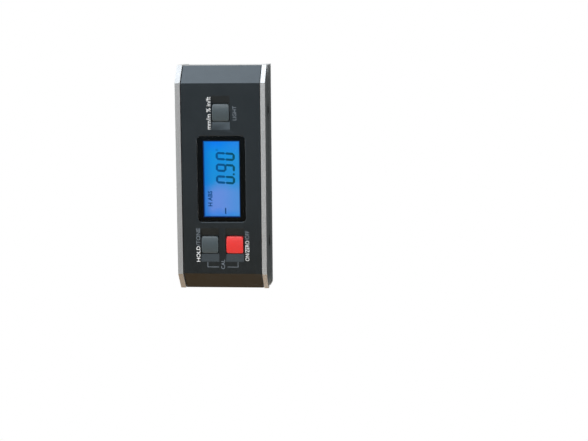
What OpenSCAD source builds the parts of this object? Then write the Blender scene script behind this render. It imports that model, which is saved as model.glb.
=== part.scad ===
// Compact digital level: an aluminium frame with a grooved magnetic base, a black front panel with
// a display window and three keys, and a rear cover with a hinged battery door.
// X runs along the level, -Y is the front, Z is up from the base, and all sizes are in millimetres.

/* [Body] */
// Length of the frame's rails
body_length = 108; // [104:1:130]
// Height from the base to the top rail's upper face
body_height = 43; // [42:0.5:54]
// Length of each 45 degree leg of the chamfered front corners
corner_chamfer = 8.2; // [6:0.1:9]
// Thickness of the top rail where it shows at the front and the back
top_edge = 2.5; // [2:0.1:3]
// Thickness of the base rail where it shows at the front and the back
base_edge = 2.2; // [2:0.1:3]
// Thickness of the end walls where they show at the back
end_edge = 2.4; // [2:0.1:3]
// Width of the step inside the frame that the panel and the cover sit on
frame_ledge = 0.9; // [0.6:0.1:1.5]
// Depth of the panel and the cover below the frame's edges
panel_recess = 0.4; // [0.2:0.1:0.8]
// Distance of the end walls inside the rails' ends
end_inset = 0.2; // [0:0.1:0.6]

/* [Base] */
// Width of the pipe groove at its mouth
groove_width = 5.6; // [4:0.2:8]
// Width of the flat floor of the pipe groove
groove_floor = 1.6; // [1:0.2:3]
// Metal left over the floor of the pipe groove
groove_roof = 2; // [1.5:0.5:3]
// Diameter of each base magnet
magnet_d = 7; // [5:0.5:9]
// Thickness of each base magnet
magnet_t = 3; // [2:0.5:4]
// Distance between the two base magnets
magnet_spacing = 63; // [50:1:70]
// Depth of each magnet's face above the base
magnet_recess = 0.8; // [0.4:0.1:1.5]
// Metal round and over each magnet
magnet_wall = 1.3; // [1:0.1:2]

/* [Display] */
// Length of the display window
window_length = 40.7; // [36:0.1:44]
// Height of the display window
window_height = 23.1; // [20:0.1:26]
// Corner radius of the display window
window_corner = 1.8; // [1:0.1:3]
// Thickness of the window's lens
lens_t = 1.2; // [0.8:0.1:1.4]
// Black border of the window at its two ends
border_ends = 2.1; // [1.5:0.1:3]
// Black border of the window above and below the display
border_sides = 2.8; // [2.4:0.1:4]
// Distance of the display's glass inside the window's outline
lcd_margin = 0.7; // [0.4:0.1:1]
// Thickness of the display's glass
lcd_t = 2.2; // [1.6:0.1:3]
// Thickness of the backlight
backlight_t = 3.6; // [3.4:0.1:5]

/* [Keys] */
// Length of each key along the level
key_length = 8.3; // [7:0.1:10]
// Height of each key across the level
key_height = 8.2; // [7:0.1:9]
// Corner radius of each key
key_corner = 1; // [0.9:0.1:2]
// Distance between the two keys on the left
key_pitch = 12; // [11.8:0.1:13]
// Height of each key's crown above the panel
key_proud = 0.2; // [0:0.1:0.4]
// Travel of each key
key_travel = 0.6; // [0.3:0.1:0.6]
// Width of the lip that keeps each key behind the panel
key_lip = 0.8; // [0.5:0.1:0.8]
// Thickness of that lip
key_lip_t = 0.9; // [0.6:0.1:1.2]
// Length of the finger scoop that each key stands in
scoop_length = 16.2; // [14:0.1:18]
// Depth of the finger scoop
scoop_depth = 1; // [0.6:0.1:1.4]
// Wall of the panel behind a scoop
scoop_wall = 1.4; // [1:0.1:1.6]
// Distance from the window to the scoops
window_gap = 3.2; // [3.1:0.1:5]

/* [Shells] */
// Thickness of the front panel
panel_t = 2.2; // [2:0.1:3]
// Thickness of the rear cover
cover_t = 2.6; // [2.4:0.1:3.2]
// Diameter of the bosses that the case screws pull together
boss_d = 6; // [5:0.5:7]
// Diameter of the case screws' shanks
case_screw_d = 2.5; // [2:0.1:3]
// Diameter of the case screws' heads
case_head_d = 4.6; // [4:0.1:5]
// Height of the case screws' heads
case_head_h = 1.6; // [1:0.1:1.6]
// Depth of the case screws' seats below the rear cover's face
screw_sink = 2; // [1.6:0.1:2.2]
// Length of thread of the case screws in the front bosses
case_thread = 5; // [4:0.5:6]

/* [Electronics] */
// Thickness of the circuit board
board_t = 1.6; // [1:0.1:2]
// Room behind the board for its components
component_room = 3.65; // [3.3:0.05:6]
// Distance that the front bosses reach past the board
boss_past_board = 2.5; // [1:0.5:4]
// Diameter of the board screws' shanks
board_screw_d = 2; // [1.6:0.1:2.2]
// Diameter of the board screws' heads
board_head_d = 3.6; // [3:0.1:4]
// Height of the board screws' heads
board_head_h = 1.3; // [0.8:0.1:1.6]
// Diameter of the bosses under the board
board_boss_d = 4; // [3.6:0.1:4.4]
// Width of each push switch
switch_w = 6; // [5:0.1:7]
// Diameter of each push switch's plunger
plunger_d = 3.4; // [2.5:0.1:4]
// Reach of a plunger out of its switch
plunger_out = 0.9; // [0.8:0.1:1.1]

/* [Batteries] */
// Diameter of each cell
cell_d = 10.5; // [10:0.1:11]
// Length of each cell with its terminal
cell_length = 44.5; // [40:0.5:46]
// Distance between the two cells
cell_pitch = 11.2; // [11.1:0.1:12]
// Length of each contact spring between its plate and its cell
spring_length = 4; // [3.6:0.1:5]
// Wire diameter of the contact springs
spring_wire = 0.5; // [0.3:0.05:0.5]
// Turns of each contact spring
spring_turns = 3.5; // [2.5:0.5:3.5]
// Thickness of the contact plates
contact_t = 0.4; // [0.3:0.05:0.6]
// Wall of the battery tub
tub_wall = 1.4; // [1:0.1:2]
// Floor of the battery tub
tub_floor = 1.2; // [0.8:0.1:2]
// Thickness of the battery door
door_t = 1.8; // [1.6:0.1:1.9]
// Width of the rim that the battery door covers at its ends
door_rim = 2.4; // [2:0.1:4]
// Width of the rim that the battery door covers above and below the cells
door_side_rim = 1.8; // [1.5:0.1:3]
// Diameter of the door's hinge lugs
lug_d = 1; // [0.8:0.1:1.1]
// Length of the door's hinge lugs
lug_length = 1; // [0.8:0.1:1.5]
// Width of the door's latch finger
latch_width = 10; // [8:0.5:14]
// Length of the door's latch finger
latch_length = 9; // [8:0.5:12]

/* [Clearances] */
// Gap between the frame and the panel or cover inside it
seat_gap = 0.35; // [0.1:0.05:0.5]
// Gap round each key
key_gap = 0.3; // [0.1:0.05:0.4]
// Gap round pieces that sit in a pocket
fit_gap = 0.1; // [0.05:0.05:0.2]
// Gap round the battery door
door_gap = 0.25; // [0.2:0.05:0.3]
// Radial gap of pins, plungers and screws in their holes
running_gap = 0.05; // [0.02:0.01:0.08]
// Room kept between pieces that don't touch
spare_gap = 0.8; // [0.5:0.1:1]

/* [Hidden] */
$fn = 64;

// The depth is the sum of what lies behind one another at the middle of the level
body_depth = panel_recess + panel_t + fit_gap + lcd_t + backlight_t + board_t + component_room
    + tub_floor + fit_gap + cell_d + door_gap + door_t + panel_recess;
front_y = -body_depth / 2;
back_y = body_depth / 2;
half_length = body_length / 2;
end_x = half_length - end_inset;
rail_top = body_height - top_edge;
middle_z = (base_edge + rail_top) / 2;
inner_half = half_length - end_edge - frame_ledge;
inner_low = base_edge + frame_ledge;
inner_high = rail_top - frame_ledge;
overcut = 1;

// Planes of the front half, from front to back
panel_y = front_y + panel_recess;
panel_in = panel_y + panel_t;
lens_y = panel_y + fit_gap;
lens_back = lens_y + lens_t;
lcd_y = panel_in + fit_gap;
lcd_back = lcd_y + lcd_t;
board_y = lcd_back + backlight_t;
board_back = board_y + board_t;
boss_end = board_back + boss_past_board;

// Planes of the rear half, from back to front
cover_y = back_y - panel_recess;
cover_in = cover_y - cover_t;
door_in = cover_y - door_t;
rim_y = door_in - fit_gap;
cell_y = door_in - door_gap - cell_d / 2;
tub_in = cell_y - cell_d / 2 - fit_gap;
tub_back = tub_in - tub_floor;

// The base and what stands on it
groove_depth = (groove_width - groove_floor) / 2;
rib_top = groove_depth + groove_roof;
rib_width = groove_width + 2 * groove_roof;
magnet_boss_d = magnet_d + 2 * magnet_wall;
magnet_boss_top = magnet_recess + magnet_t + magnet_wall;
magnet_edge = 0.4;

// The window and the display behind it: length and height of each
window_size = [window_length, window_height];
view_size = window_size - 2 * [border_ends, border_sides];
lcd_size = window_size - 2 * lcd_margin * [1, 1];
opening_margin = 1;
holder_rim = 1.2;
backlight_margin = 0.5;
connector_width = 1.2;
led_size = [0.8, 1.2, 2.4];

// The keys: place along the level and height
key_column = window_length / 2 + window_gap + scoop_length / 2;
hold_at = [-key_column, middle_z + key_pitch / 2];
power_at = [-key_column, middle_z - key_pitch / 2];
light_at = [key_column, middle_z];
key_spots = [hold_at, power_at, light_at];
scoop_height = key_height + 2 * key_gap;
scoop_back = max(panel_in, panel_y + scoop_depth + scoop_wall);
lip_y = scoop_back + fit_gap;
plunger_y = lip_y + key_lip_t;
crown_y = panel_y - key_proud;
// Each slice of a key's crown: depth below the top, and distance inside the key's outline
crown_slices = [[0.9, 0], [0.25, 0.2], [0, 0.8]];
crown_slice_t = 0.02;
plunger_in = 1.2;
plunger_room = 0.2;

// The board, the bosses and the screws
boss_x = inner_half - spare_gap - boss_d / 2;
boss_low = rib_top + spare_gap + boss_d / 2;
boss_high = inner_high - spare_gap - boss_d / 2;
boss_room = (boss_d + spare_gap) / 2;
board_screw_inset = 2.4;
board_screw_x = key_column + (scoop_length + board_boss_d) / 2;
board_half = board_screw_x + board_screw_inset;
board_bottom = magnet_boss_top + spare_gap;
board_top = inner_high - 2 * spare_gap;
board_screw_column = window_length / 2 + holder_rim + board_boss_d;
board_screw_top = board_top - board_screw_inset;
board_screw_spots = [
    [-board_screw_x, middle_z], [board_screw_x, middle_z],
    [-board_screw_column, board_screw_top], [board_screw_column, board_screw_top]
];
case_screw_spots = [for (x = [-boss_x, boss_x], z = [boss_low, boss_high]) [x, z]];
cross_share = 0.6;
cross_width = 0.7;
cross_depth = 0.8;
head_gap = 0.2;

// Components on the back of the board: place from its middle, size across, and depth
chip_at = [0, 1];
chip_size = [10, 10];
chip_t = 1.4;
sensor_at = [-13, -7];
sensor_size = [5, 5];
sensor_t = 1.6;
crystal_at = [13, 7];
crystal_size = [8, 3.2];
crystal_corner = 1.5;
crystal_t = 2.5;
buzzer_d = 11;
buzzer_t = 3;
buzzer_hole_d = 2;

// The battery tub, its door and its contacts
cell_play = 0.3;
tub_half = (cell_length + spring_length + 2 * contact_t) / 2;
tub_half_height = (cell_pitch + cell_d) / 2 + cell_play;
lower_z = middle_z - cell_pitch / 2;
upper_z = middle_z + cell_pitch / 2;
recess_half = tub_half + door_rim;
recess_half_height = tub_half_height + door_side_rim;
hinge_x = -recess_half + door_gap + door_t / 2;
hinge_y = cover_y - door_t / 2;
door_end = recess_half - door_gap;
door_half_height = recess_half_height - door_gap;
latch_slot = 0.8;
nib_r = 0.4;
ridge_w = 1;
ridge_h = 0.3;
ridge_count = 3;
thumb_r = 3.2;
thumb_depth = 1;
contact_w = 7;
tab_w = 2;
terminal_d = 3.8;
terminal_h = 0.8;
cell_edge = 0.5;
spring_base_r = 3.2;
spring_tip_r = 2.2;
spring_rings = 8;
spring_sides = 6;

// A rectangle with round corners, about the origin
module rounded_rect(size, r) {
    square([size[0] - 2 * r, size[1]], center = true);
    square([size[0], size[1] - 2 * r], center = true);
    for (x = [-1, 1], z = [-1, 1])
        translate([x * (size[0] / 2 - r), z * (size[1] / 2 - r)]) circle(r);
}

// An outline in X and Z made into a slab that runs from y0 back to y1
module slab(y0, y1) {
    translate([0, y1, 0]) rotate([90, 0, 0]) linear_extrude(y1 - y0) children();
}

// A box given by its lowest and highest corners
module block(low, high) {
    translate(low) cube(high - low);
}

// A rod along Y, from y0 back to y1, at a place [x, z]
module rod(at, d, y0, y1) {
    translate([at[0], y1, at[1]]) rotate([90, 0, 0]) cylinder(d = d, h = y1 - y0);
}

// Half the length of the flat front at a depth "inset" inside the outer faces
function flat_half(inset) = half_length - corner_chamfer - inset * (sqrt(2) - 1);

// Where a chamfer at that inset passes x
function chamfer_y(inset, x) = front_y + inset * sqrt(2) + x - half_length + corner_chamfer;

// The front and its two chamfers seen from above, out to x at both ends
function front_line(inset, x) = [
    [-x, chamfer_y(inset, x)], [-flat_half(inset), front_y + inset],
    [flat_half(inset), front_y + inset], [x, chamfer_y(inset, x)]
];

function reversed(points) = [for (i = [len(points) - 1 : -1 : 0]) points[i]];

// Everything behind the front at that inset
module behind_front(inset) {
    linear_extrude(body_height)
        polygon(concat(front_line(inset, half_length), [[half_length, back_y], [-half_length, back_y]]));
}

// What is cut from the frame's block: the middle, the panel's and the cover's seats, and the ends
module frame_opening() {
    seat = panel_recess + panel_t;
    past = half_length + overcut;
    block([-inner_half, front_y - overcut, inner_low], [inner_half, back_y + overcut, inner_high]);
    translate([0, 0, base_edge]) linear_extrude(rail_top - base_edge)
        polygon(concat(front_line(seat, past), [[past, front_y - overcut], [-past, front_y - overcut]]));
    block([-half_length + end_edge, cover_in, base_edge], [half_length - end_edge, back_y + overcut, rail_top]);
    for (side = [0, 1]) mirror([side, 0, 0])
        block([end_x, front_y - overcut, base_edge], [past, back_y + overcut, rail_top]);
}

module pipe_groove() {
    translate([-half_length - overcut, 0, 0]) rotate([90, 0, 90]) linear_extrude(body_length + 2 * overcut)
        polygon([
            [-groove_width / 2 - overcut, -overcut], [groove_width / 2 + overcut, -overcut],
            [groove_floor / 2, groove_depth], [-groove_floor / 2, groove_depth]
        ]);
}

module frame() {
    rib_half = half_length - end_edge;
    color("silver") difference() {
        union() {
            difference() {
                behind_front(0);
                frame_opening();
            }
            intersection() {
                block([-rib_half, -rib_width / 2, 0], [rib_half, rib_width / 2, rib_top]);
                behind_front(panel_recess + panel_t + seat_gap);
            }
            for (x = [-1, 1]) translate([x * magnet_spacing / 2, 0, 0])
                cylinder(d = magnet_boss_d, h = magnet_boss_top);
        }
        pipe_groove();
        for (x = [-1, 1]) translate([x * magnet_spacing / 2, 0, -overcut])
            cylinder(d = magnet_d + 2 * running_gap, h = magnet_recess + magnet_t + overcut);
    }
}

module magnet(side) {
    color("dimgray") translate([side * magnet_spacing / 2, 0, magnet_recess]) {
        cylinder(d1 = magnet_d - 2 * magnet_edge, d2 = magnet_d, h = magnet_edge);
        translate([0, 0, magnet_edge]) cylinder(d = magnet_d, h = magnet_t - magnet_edge);
    }
}

// The front panel, its lens and its keys

module scoop_cut(at) {
    half = scoop_length / 2;
    low_half = key_length / 2 + key_gap;
    translate([at[0], panel_y, at[1] - scoop_height / 2]) linear_extrude(scoop_height)
        polygon([
            [-half, 0], [-half, -overcut], [half, -overcut], [half, 0],
            [low_half, scoop_depth], [-low_half, scoop_depth]
        ]);
}

module key_outline(at, grow) {
    translate(at) rounded_rect([key_length, key_height] + 2 * grow * [1, 1], key_corner + grow);
}

module scoop_box(at) {
    reach = [scoop_length / 2 + scoop_wall, 0, scoop_height / 2 + scoop_wall];
    block([at[0], panel_y + panel_t / 2, at[1]] - reach, [at[0], scoop_back, at[1]] + reach);
}

module panel_bosses() {
    intersection() {
        union() {
            for (at = case_screw_spots) rod(at, boss_d, front_y, boss_end);
            for (at = board_screw_spots) rod(at, board_boss_d, front_y, board_y);
        }
        behind_front(panel_recess + panel_t / 2);
    }
}

module front_panel() {
    low = base_edge + seat_gap;
    high = rail_top - seat_gap;
    color("#2e353b") difference() {
        union() {
            translate([0, 0, low]) linear_extrude(high - low)
                polygon(concat(front_line(panel_recess, end_x),
                               reversed(front_line(panel_recess + panel_t, end_x))));
            for (at = key_spots) scoop_box(at);
            panel_bosses();
        }
        slab(panel_y - overcut, lens_back) translate([0, middle_z])
            rounded_rect(window_size + 2 * fit_gap * [1, 1], window_corner + fit_gap);
        slab(panel_y, panel_in + overcut) translate([0, middle_z])
            square(view_size + 2 * opening_margin * [1, 1], center = true);
        for (at = key_spots) {
            scoop_cut(at);
            slab(panel_y, scoop_back + overcut) key_outline(at, key_gap);
        }
        for (at = case_screw_spots)
            rod(at, case_screw_d + 2 * running_gap, boss_end - case_thread - overcut, boss_end + overcut);
        for (at = board_screw_spots)
            rod(at, board_screw_d + 2 * running_gap, panel_in + fit_gap, board_y + overcut);
    }
}

module window_lens() {
    color("#101418") slab(lens_y, lens_back) translate([0, middle_z]) rounded_rect(window_size, window_corner);
}

module key(at, shade) {
    color(shade) {
        slab(lip_y, plunger_y) key_outline(at, key_lip);
        slab(crown_y + crown_slices[0][0], lip_y) key_outline(at, 0);
        hull() for (slice = crown_slices)
            slab(crown_y + slice[0], crown_y + slice[0] + crown_slice_t, $fn = 32)
                key_outline(at, -slice[1], $fn = 32);
    }
}

// The push switches on the board, each with its plunger

module push_switch(at) {
    front = plunger_y + plunger_out;
    color("#26282a") difference() {
        slab(front, board_y) translate(at) square(switch_w, center = true);
        rod(at, plunger_d + 2 * running_gap, front - overcut, front + plunger_in + key_travel + plunger_room);
    }
}

module plunger(at) {
    color("#1c1c1c") rod(at, plunger_d, plunger_y, plunger_y + plunger_out + plunger_in);
}

// The display: glass, backlight, connector and the holder round them

module lcd_glass() {
    color("#3d7ad6") slab(lcd_y, lcd_back) translate([0, middle_z]) square(lcd_size, center = true);
}

module backlight() {
    color("white") slab(lcd_back, board_y) translate([0, middle_z])
        square(view_size + 2 * backlight_margin * [1, 1], center = true);
}

module backlight_led() {
    led_x = view_size[0] / 2 + backlight_margin + fit_gap;
    color("ivory") block([led_x, board_y - led_size[1], middle_z - led_size[2] / 2],
                         [led_x + led_size[0], board_y, middle_z + led_size[2] / 2]);
}

module rubber_connector() {
    half = view_size[0] / 2;
    top = middle_z - view_size[1] / 2 - backlight_margin - fit_gap;
    color("#5a5f66") block([-half, lcd_back, top - connector_width], [half, board_y, top]);
}

module lcd_holder() {
    beside = [led_size[0], connector_width] + (backlight_margin + 2 * fit_gap) * [1, 1];
    color("#e6e6e0") difference() {
        slab(panel_in, board_y) translate([0, middle_z])
            rounded_rect(window_size + 2 * holder_rim * [1, 1], window_corner);
        slab(panel_in - overcut, lcd_back) translate([0, middle_z])
            square(lcd_size + 2 * fit_gap * [1, 1], center = true);
        slab(lcd_back - overcut, board_y + overcut) translate([0, middle_z])
            square(view_size + 2 * beside, center = true);
    }
}

// The circuit board and its components

module tab_slots(y0, y1) {
    for (z = [lower_z, upper_z])
        slab(y0, y1) translate([-tub_half + contact_t / 2, z])
            square([contact_t, tab_w] + 2 * fit_gap * [1, 1], center = true);
}

// The board runs between the case bosses at its ends, and has its full height inside them
module circuit_board() {
    tall_half = min(board_half, boss_x - boss_room);
    color("#1f6b3a") difference() {
        union() {
            block([-tall_half, board_y, board_bottom], [tall_half, board_back, board_top]);
            block([-board_half, board_y, boss_low + boss_room], [board_half, board_back, boss_high - boss_room]);
        }
        for (at = board_screw_spots)
            rod(at, board_screw_d + 2 * fit_gap, board_y - overcut, board_back + overcut);
        tab_slots(board_y - overcut, board_back + overcut);
    }
}

module chip(at, depth) {
    slab(board_back, board_back + depth) translate(at + [0, middle_z]) children();
}

module microcontroller() {
    color("#202224") chip(chip_at, chip_t) square(chip_size, center = true);
}

module tilt_sensor() {
    color("#303338") chip(sensor_at, sensor_t) square(sensor_size, center = true);
}

module crystal() {
    color("silver") chip(crystal_at, crystal_t) rounded_rect(crystal_size, crystal_corner);
}

module buzzer() {
    at = [tub_half + tub_wall + spare_gap + buzzer_d / 2, board_bottom + spare_gap + buzzer_d / 2];
    color("#18191a") difference() {
        rod(at, buzzer_d, board_back, board_back + buzzer_t);
        rod(at, buzzer_hole_d, board_back + buzzer_t / 2, board_back + buzzer_t + overcut);
    }
}

// Screws, each with its cross-slotted head towards the back

module screw(at, d, head_d, head_h, seat_y, tip_y) {
    top = seat_y + head_h;
    rod(at, d, tip_y, seat_y);
    difference() {
        rod(at, head_d, seat_y, top);
        for (turn = [0, 90])
            slab(top - cross_depth, top + overcut)
                translate(at) rotate(turn) square([head_d * cross_share, cross_width], center = true);
    }
}

module case_screws() {
    color("#3a3c3e") for (at = case_screw_spots)
        screw(at, case_screw_d, case_head_d, case_head_h, cover_y - screw_sink, boss_end - case_thread);
}

module board_screws() {
    color("#b9bcbf") for (at = board_screw_spots)
        screw(at, board_screw_d, board_head_d, board_head_h, board_back, panel_in + 2 * fit_gap);
}

// The rear cover with the battery tub, and the door over it

module tub_space(grow, y0, y1) {
    slab(y0, y1) translate([0, middle_z])
        square(2 * [tub_half + grow, tub_half_height + grow], center = true);
}

// A pin along Z at the door's hinge, or beside it, that reaches "half" above and below the middle
module upright_pin(x, d, half) {
    translate([x, hinge_y, middle_z - half]) cylinder(d = d, h = 2 * half);
}

module rear_cover() {
    side = end_edge + seat_gap;
    color("#2b3034") difference() {
        union() {
            block([-half_length + side, cover_in, base_edge + seat_gap],
                  [half_length - side, cover_y, rail_top - seat_gap]);
            tub_space(tub_wall, tub_back, cover_in + overcut);
            for (at = case_screw_spots) rod(at, boss_d, boss_end, cover_in + overcut);
        }
        tub_space(0, tub_in, cover_y + overcut);
        slab(rim_y, cover_y + overcut) translate([0, middle_z])
            square(2 * [recess_half, recess_half_height], center = true);
        // Sockets for the hinge lugs, the latch's nib and a thumb nail
        upright_pin(hinge_x, lug_d + 2 * running_gap, door_half_height + lug_length + door_gap);
        upright_pin(door_end, 2 * (nib_r + door_gap), latch_width / 2);
        rod([recess_half, middle_z], 2 * thumb_r, cover_y - thumb_depth, cover_y + overcut);
        for (at = case_screw_spots) {
            rod(at, case_screw_d + 2 * running_gap, boss_end - overcut, cover_y);
            rod(at, case_head_d + 2 * head_gap, cover_y - screw_sink, cover_y + overcut);
        }
        tab_slots(tub_back - overcut, tub_in + overcut);
    }
}

module battery_door() {
    color("#2b3034") {
        difference() {
            union() {
                block([hinge_x, door_in, middle_z - door_half_height],
                      [door_end, cover_y, middle_z + door_half_height]);
                upright_pin(hinge_x, door_t, door_half_height);
                upright_pin(hinge_x, lug_d, door_half_height + lug_length);
                upright_pin(door_end, 2 * nib_r, latch_width / 2 - door_gap);
            }
            for (side = [-1, 1])
                slab(door_in - overcut, cover_y + overcut)
                    translate([door_end, middle_z + side * (latch_width + latch_slot) / 2])
                        square([2 * latch_length, latch_slot], center = true);
        }
        for (i = [1 : ridge_count])
            slab(cover_y, cover_y + ridge_h)
                translate([door_end - 2 * ridge_w * i, middle_z])
                    square([ridge_w, latch_width - 2 * ridge_w], center = true);
    }
}

// The cells and their contacts

module cell(z, plus) {
    color("#3f6fa8") translate([plus * (tub_half - contact_t), cell_y, z]) rotate([0, plus * -90, 0])
        rotate_extrude() polygon([
            [0, 0], [terminal_d / 2, 0], [terminal_d / 2, terminal_h], [cell_d / 2 - cell_edge, terminal_h],
            [cell_d / 2, terminal_h + cell_edge], [cell_d / 2, cell_length - cell_edge],
            [cell_d / 2 - cell_edge, cell_length], [0, cell_length]
        ]);
}

// A conical coil of wire that stands on its contact plate, as one tube swept along its middle line
coil_steps = spring_turns * spring_rings;
coil_end = spring_wire / 2 + running_gap;
coil_line = [
    for (i = [0 : coil_steps])
        let (t = i / coil_steps, r = spring_base_r + (spring_tip_r - spring_base_r) * t, a = 360 * spring_turns * t)
        [r * cos(a), r * sin(a), coil_end + (spring_length - 2 * coil_end) * t]
];

// The ring of points round the coil's middle line at step i
function coil_ring(i) =
    let (p = coil_line[i], before = coil_line[max(i - 1, 0)], after = coil_line[min(i + 1, coil_steps)],
         along = (after - before) / norm(after - before),
         level = [p[0], p[1], 0],
         outward = level - (level * along) * along,
         out = outward / norm(outward),
         across = cross(along, out))
    [
        for (k = [0 : spring_sides - 1])
            let (a = 360 * k / spring_sides)
            p + spring_wire / 2 * (cos(a) * out + sin(a) * across)
    ];

// Triangles of a tube with that many rings and sides, closed at both ends
function tube_faces(rings, sides) =
    let (last = (rings - 1) * sides)
    concat(
        [for (k = [1 : sides - 2]) [0, k, k + 1]],
        [for (k = [1 : sides - 2]) [last, last + k + 1, last + k]],
        [
            for (i = [0 : rings - 2], k = [0 : sides - 1])
                let (a = i * sides, b = a + sides, next = (k + 1) % sides)
                each [[a + k, b + k, b + next], [a + k, b + next, a + next]]
        ]);

coil_gap = min([
    for (i = [0 : coil_steps], j = [0 : coil_steps])
        if (j - i >= spring_rings / 2) norm(coil_line[i] - coil_line[j])
]) - spring_wire;
echo(least_gap_in_spring = coil_gap);

module spring(z, side) {
    color("#c8c8c0") translate([side * (tub_half - contact_t), cell_y, z]) rotate([0, side * -90, 0])
        polyhedron([for (i = [0 : coil_steps]) each coil_ring(i)], tube_faces(coil_steps + 1, spring_sides));
}

module left_contacts() {
    color("#c8c8c0") for (z = [lower_z, upper_z]) {
        block([-tub_half, cell_y - contact_w / 2, z - contact_w / 2],
              [-tub_half + contact_t, cell_y + contact_w / 2, z + contact_w / 2]);
        block([-tub_half, board_back - board_t / 2, z - tab_w / 2],
              [-tub_half + contact_t, cell_y - contact_w / 2, z + tab_w / 2]);
    }
}

module bridge_contact() {
    color("#c8c8c0") block([tub_half - contact_t, cell_y - contact_w / 2, lower_z - contact_w / 2],
                           [tub_half, cell_y + contact_w / 2, upper_z + contact_w / 2]);
}

frame();
magnet(-1);  // left_magnet
magnet(1);  // right_magnet
front_panel();
window_lens();
lcd_glass();
backlight();
backlight_led();
lcd_holder();
rubber_connector();
circuit_board();
microcontroller();
tilt_sensor();
crystal();
buzzer();
key(hold_at, "#5c676d");  // hold_key
key(power_at, "#e3342f");  // power_key
key(light_at, "#5c676d");  // light_key
push_switch(hold_at);  // hold_switch
push_switch(power_at);  // power_switch
push_switch(light_at);  // light_switch
plunger(hold_at);  // hold_plunger
plunger(power_at);  // power_plunger
plunger(light_at);  // light_plunger
rear_cover();
battery_door();
cell(lower_z, 1);  // lower_cell
cell(upper_z, -1);  // upper_cell
spring(lower_z, -1);  // lower_spring
spring(upper_z, 1);  // upper_spring
left_contacts();
bridge_contact();
case_screws();
board_screws();
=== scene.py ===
"""Looks of a compact digital level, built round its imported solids.

The level stands on its base at the origin, with +X along its length, +Z up and its
display facing -Y. Sizes are in metres, angles in degrees, and colours in 8-bit sRGB.
"""

import logging
import math
from contextlib import contextmanager
from dataclasses import dataclass
from enum import Enum
from functools import cached_property
from typing import Any, Callable, Dict, Iterator, List, Mapping, Optional, Sequence, Tuple

import bpy
from mathutils import Matrix, Vector


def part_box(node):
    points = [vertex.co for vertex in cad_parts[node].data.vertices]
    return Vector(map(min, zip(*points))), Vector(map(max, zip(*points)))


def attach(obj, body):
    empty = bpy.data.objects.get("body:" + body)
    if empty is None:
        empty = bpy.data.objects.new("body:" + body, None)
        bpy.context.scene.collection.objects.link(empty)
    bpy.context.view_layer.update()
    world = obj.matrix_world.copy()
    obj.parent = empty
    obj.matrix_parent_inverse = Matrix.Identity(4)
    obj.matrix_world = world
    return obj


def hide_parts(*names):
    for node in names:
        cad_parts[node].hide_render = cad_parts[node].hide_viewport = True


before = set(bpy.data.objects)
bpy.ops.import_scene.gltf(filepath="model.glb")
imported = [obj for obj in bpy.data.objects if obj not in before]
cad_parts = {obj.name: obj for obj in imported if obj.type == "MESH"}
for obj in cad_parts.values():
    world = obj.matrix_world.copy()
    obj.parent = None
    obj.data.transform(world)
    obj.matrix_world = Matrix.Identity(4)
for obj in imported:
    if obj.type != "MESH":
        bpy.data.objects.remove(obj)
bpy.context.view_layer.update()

MM = 0.001
NEAR = 1e-6
FLAT_ANGLE = 0.4
SHARP_ANGLE = 28.0
SMOOTH_ANGLE = 36.0
FACING = 0.9
EDGE_MARK = "edge"
EDGES_MODE = (False, True, False)
FACES_MODE = (False, False, True)
WHITE = (1.0, 1.0, 1.0, 1.0)
BLACK = (0.0, 0.0, 0.0, 1.0)

Piece = bpy.types.Object
Material = bpy.types.Material
Node = bpy.types.Node
Socket = bpy.types.NodeSocket
Vec = Tuple[float, float, float]
Colour = Tuple[float, float, float, float]
Area = Tuple[float, float, float, float]
Pick = Callable[[Vector, Vector], bool]

log = logging.getLogger("digital_level")


class Body(Enum):
    """The bodies that pieces ride on."""

    HOUSING = "housing"
    HOLD = "hold_button"
    POWER = "power_button"
    LIGHT = "light_button"
    DOOR = "door"


class Effect(Enum):
    """The shared effects that finishes place in their materials."""

    GRAIN = "fine_grain"
    MOTTLE = "broad_mottle"
    WEAR = "edge_wear"


def srgb(*channels: int) -> Colour:
    """Turns an 8-bit sRGB colour into the linear colour that sockets take.

    Args:
        *channels: Red, green and blue, 0 to 255.

    Returns:
        The linear colour with full alpha.
    """
    shares = [channel / 255.0 for channel in channels]
    red, green, blue = (s / 12.92 if s <= 0.04045 else ((s + 0.055) / 1.055) ** 2.4 for s in shares)
    return (red, green, blue, 1.0)


def thin_box(area: Area, front: float, back: float) -> Tuple[Vec, Vec]:
    """Gives the lowest and the highest corner of a thin upright box.

    Args:
        area: Its left, right, foot and head, in millimetres.
        front: The Y of its front.
        back: The Y of its back.

    Returns:
        The two corners.
    """
    left, right, foot, head = (side * MM for side in area)
    return (left, front, foot), (right, back, head)


def front_to_back(start: Vector, end: Vector) -> bool:
    """Tells whether an edge runs from the front to the back."""
    return abs(start.y - end.y) > NEAR


def select_only(*pieces: Piece) -> None:
    """Leaves only these objects selected, with the first of them active.

    Args:
        *pieces: The objects to select, or none.
    """
    bpy.ops.object.select_all(action="DESELECT")
    for piece in pieces:
        piece.select_set(True)
    if pieces:
        bpy.context.view_layer.objects.active = pieces[0]


@contextmanager
def editing(piece: Piece, mode: Tuple[bool, bool, bool], whole: bool = False) -> Iterator[None]:
    """Opens a piece in edit mode and closes it again.

    Args:
        piece: The object to edit.
        mode: Which of vertices, edges and faces are selected by.
        whole: Whether all of its mesh is selected first.

    Yields:
        Nothing.
    """
    select_only(piece)
    bpy.context.tool_settings.mesh_select_mode = mode
    bpy.ops.object.mode_set(mode="EDIT")
    if whole:
        bpy.ops.mesh.select_all(action="SELECT")
    yield
    bpy.ops.object.mode_set(mode="OBJECT")


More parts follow.
